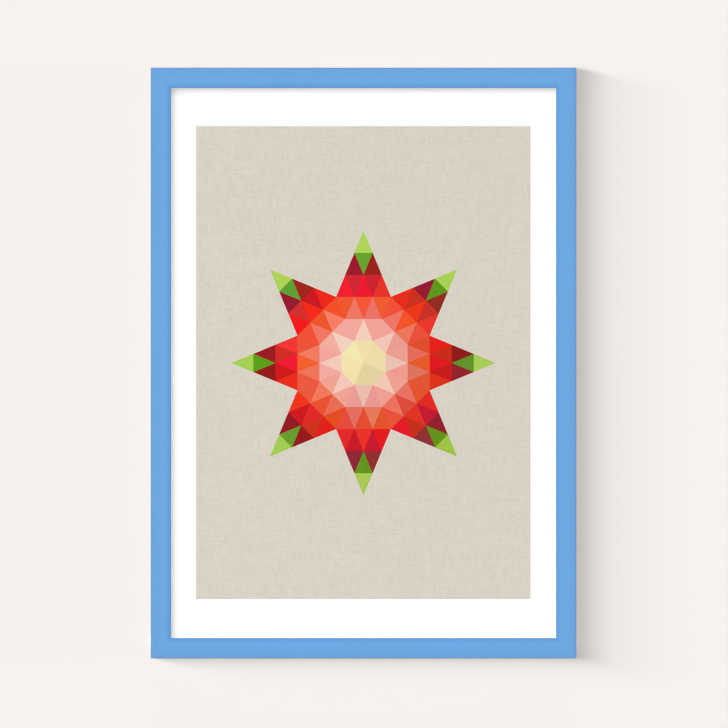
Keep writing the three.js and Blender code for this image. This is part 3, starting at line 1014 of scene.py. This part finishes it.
def pad_profile(base, back):
    """Edge, then a shoulder: radius flat + (R - flat) cos a, depth towards the back sin a."""
    a = np.linspace(0, math.pi / 2, 12)
    edge = base + PAD_EDGE
    out = PAD_FLAT + (PAD_RADIUS - PAD_FLAT) * np.cos(a)
    shoulder = np.stack([out, edge + (back - edge) * np.sin(a)], axis=-1)
    foot = [[PAD_RADIUS - PAD_BASE_EASE, base], [PAD_RADIUS, base + PAD_BASE_EASE]]
    return np.concatenate([foot, shoulder])


soft_plastic = milky_plastic()
for way in ("left", "right"):
    low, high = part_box(f"pad_{way}")
    profile = pad_profile(low.y / MM, high.y / MM)
    bumper = turned(f"bumper_{way}", profile, f"pad_{way}", PAD_SIDES)
    dress(bumper, f"pad_{way}", soft_plastic)
print("bumpers: 2, with", len(bumper.data.polygons), "faces each")

# %% [markdown]
# ## Wall and floor
# The print hangs on a plain warm white wall. From behind, the wall would hide everything, so
# its shader lets through whatever meets its back, and it casts no shadow: a soft light
# behind it can then show the hanger and the board. The floor is far below, and throws
# no light back up, which keeps the wall even.

# %% Plain surroundings
WALL_COLOUR = (0.893, 0.859, 0.836, 1)
WALL_GAP = 0.4 * MM
FLOOR_LEVEL, REACH = -2.2, 4.0


def plain_sheet(name, corners, finish):
    """One flat face for the surroundings."""
    mesh = bpy.data.meshes.new(name)
    mesh.from_pydata(corners, [], [[0, 1, 2, 3]])
    mesh.materials.append(finish)
    piece = bpy.data.objects.new(name, mesh)
    scene.collection.objects.link(piece)
    return piece


def one_sided(name, colour):
    """Matt colour on the front of a face, nothing on its back."""
    finish, tree, shader = new_finish(name, Roughness=1.0, Specular_IOR_Level=0.0)
    shader.inputs["Base Color"].default_value = colour
    behind = add(tree, "NewGeometry", {}, output="Backfacing")
    nothing = add(tree, "BsdfTransparent", {})
    both = add(tree, "MixShader", {0: behind, 1: shader.outputs[0], 2: nothing})
    surface = next(n for n in tree.nodes if n.type == "OUTPUT_MATERIAL").inputs["Surface"]
    tree.links.new(both, surface)
    return finish


signs = BOX_CORNERS.tolist()
wall_corners = [(x * REACH, WALL_GAP, FLOOR_LEVEL if z < 0 else REACH) for x, z in signs]
floor_corners = [(x * REACH, y * REACH, FLOOR_LEVEL) for x, y in signs]
wall = plain_sheet("wall", wall_corners, one_sided("warm_white_wall", WALL_COLOUR))
floor = plain_sheet("floor", floor_corners, one_sided("pale_floor", WALL_COLOUR))
wall.visible_shadow = False
floor.visible_diffuse = False
print("wall faces", tuple(round(x, 2) for x in wall.data.polygons[0].normal))

# %% [markdown]
# ## Light
# Soft daylight comes from the left and a little above, over an even light from the front. An
# area lamp would light the wall unevenly. Sun lamps light all of it alike, so the window is
# a row of seven. The further a lamp leans to the side, the further its shadow reaches, and
# the seven soft shadows add up to one that fades out slowly. Each lamp is given as a share
# of the light on the wall, and those in front of it add up to about one. Three weak lamps
# graze along the wall for the sake of the rails' outer sides.
#
# Two lamps are hidden from mirrors, or the glass would show them as white discs. One of
# these lights the sheet alone: printing paper outshines a painted wall, and a light link
# says so without paper whiter than paper can be. Only one lamp is linked, because with
# several linked suns the renderer's light tree gives false shadows. The rear lamp is for
# views from behind.

# %% Sun lamps
LIGHT_LEVEL = 1.03
WINDOW = [
    (12, 0, 0.066), (22, 2, 0.095), (32, 6, 0.066), (42, 11, 0.085),
    (52, 13, 0.056), (62, 13, 0.028), (72, 12, 0.050),
]  # tilt and lift in degrees, share
GRAZING = [("right", 180, 0.014), ("top", 90, 0.010), ("floor", 270, 0.008)]
GRAZING_TILT, GRAZING_ANGLE, WINDOW_ANGLE = 88, 4, 12
FRONT_SHARE, FRONT_ANGLE = 0.52, 2
REAR, PICTURE = (35, 60, 40, 0.72), (34, 85, 44, 0.42)  # tilt, lift, angle, share


def sun(name, tilt, lift, spread_angle, share, side=-1, mirrored=True):
    """A lamp tilt degrees off the wall's normal, towards a way that rises lift degrees from
    the horizontal. Its power is pi level share / cos tilt, so shares add up on the wall.
    spread_angle is how wide it looks in the sky, which softens its shadow."""
    tilt, lift = math.radians(tilt), math.radians(lift)
    off = math.sin(tilt)
    towards = Vector((-off * math.cos(lift), side * math.cos(tilt), off * math.sin(lift)))
    lamp = bpy.data.lights.new(name, "SUN")
    lamp.energy = math.pi * LIGHT_LEVEL * share / math.cos(tilt)
    lamp.angle = math.radians(spread_angle)
    placed = bpy.data.objects.new(name, lamp)
    placed.rotation_euler = towards.to_track_quat("Z", "Y").to_euler()
    placed.visible_glossy = mirrored
    placed.visible_transmission = mirrored
    scene.collection.objects.link(placed)
    return placed


sun("front_fill", 0, 0, FRONT_ANGLE, FRONT_SHARE, mirrored=False)
for tilt, lift, share in WINDOW:
    sun(f"window_{tilt}", tilt, lift, WINDOW_ANGLE, share)
for way, lift, share in GRAZING:
    sun(f"{way}_graze", GRAZING_TILT, lift, GRAZING_ANGLE, share)
sun("rear_fill", *REAR, side=1)
picture_light = sun("picture_light", *PICTURE, mirrored=False)
lit_picture = bpy.data.collections.new("lit_picture")
lit_picture.objects.link(sheet)
picture_light.light_linking.receiver_collection = lit_picture

# %% [markdown]
# ## Sky
# A trace of light from all round keeps the deepest corners from going black. The camera sees
# a paler sky than the one that lights, so that views past the wall's edge stay bright.

# %% Sky
SKY_SHARE = 0.02
SKY_TINT, SEEN_TINT = (1.0, 0.985, 0.96, 1), (0.9, 0.89, 0.88, 1)
sky = bpy.data.worlds.new("sky")
sky.use_nodes = True
air = sky.node_tree
dim = next(n for n in air.nodes if n.type == "BACKGROUND")
dim.inputs["Color"].default_value = SKY_TINT
dim.inputs["Strength"].default_value = LIGHT_LEVEL * SKY_SHARE
seen = add(air, "Background", {"Color": SEEN_TINT, "Strength": 1.0})
straight = add(air, "LightPath", {}, output="Is Camera Ray")
choice = add(air, "MixShader", {0: straight, 1: dim.outputs[0], 2: seen})
air.links.new(choice, next(n for n in air.nodes if n.type == "OUTPUT_WORLD").inputs["Surface"])
scene.world = sky
print("sky's share of the light:", SKY_SHARE)

# %% [markdown]
# ## Camera
# The view is square on, as for a catalogue: no edge of the frame leans and both sides of the
# moulding look alike. An orthographic camera gives that at any distance. The picture is
# crisp, so the filter that spreads each sample over its neighbours is narrowed to one pixel.

# %% Camera and colour
VIEW_WIDTH, VIEW_DISTANCE = 0.54236, 2.0
VIEW_SHIFT = np.array([0.35, -0.745]) * MM
camera = bpy.data.objects.new("camera", bpy.data.cameras.new("camera"))
camera.data.type = "ORTHO"
camera.data.ortho_scale = VIEW_WIDTH
camera.data.clip_start, camera.data.clip_end = 0.05, 20
camera.location = (VIEW_SHIFT[0], -VIEW_DISTANCE, middle + VIEW_SHIFT[1])
camera.rotation_euler = (math.pi / 2, 0, 0)
scene.collection.objects.link(camera)
scene.camera = camera
scene.view_settings.view_transform = "Standard"
scene.view_settings.look = "None"
scene.cycles.filter_width = 1.0
print("view width:", VIEW_WIDTH, "m")

# %% [markdown]
# ## Finish
# The last call brings the scene up to date.

# %% Finish
bpy.context.view_layer.update()
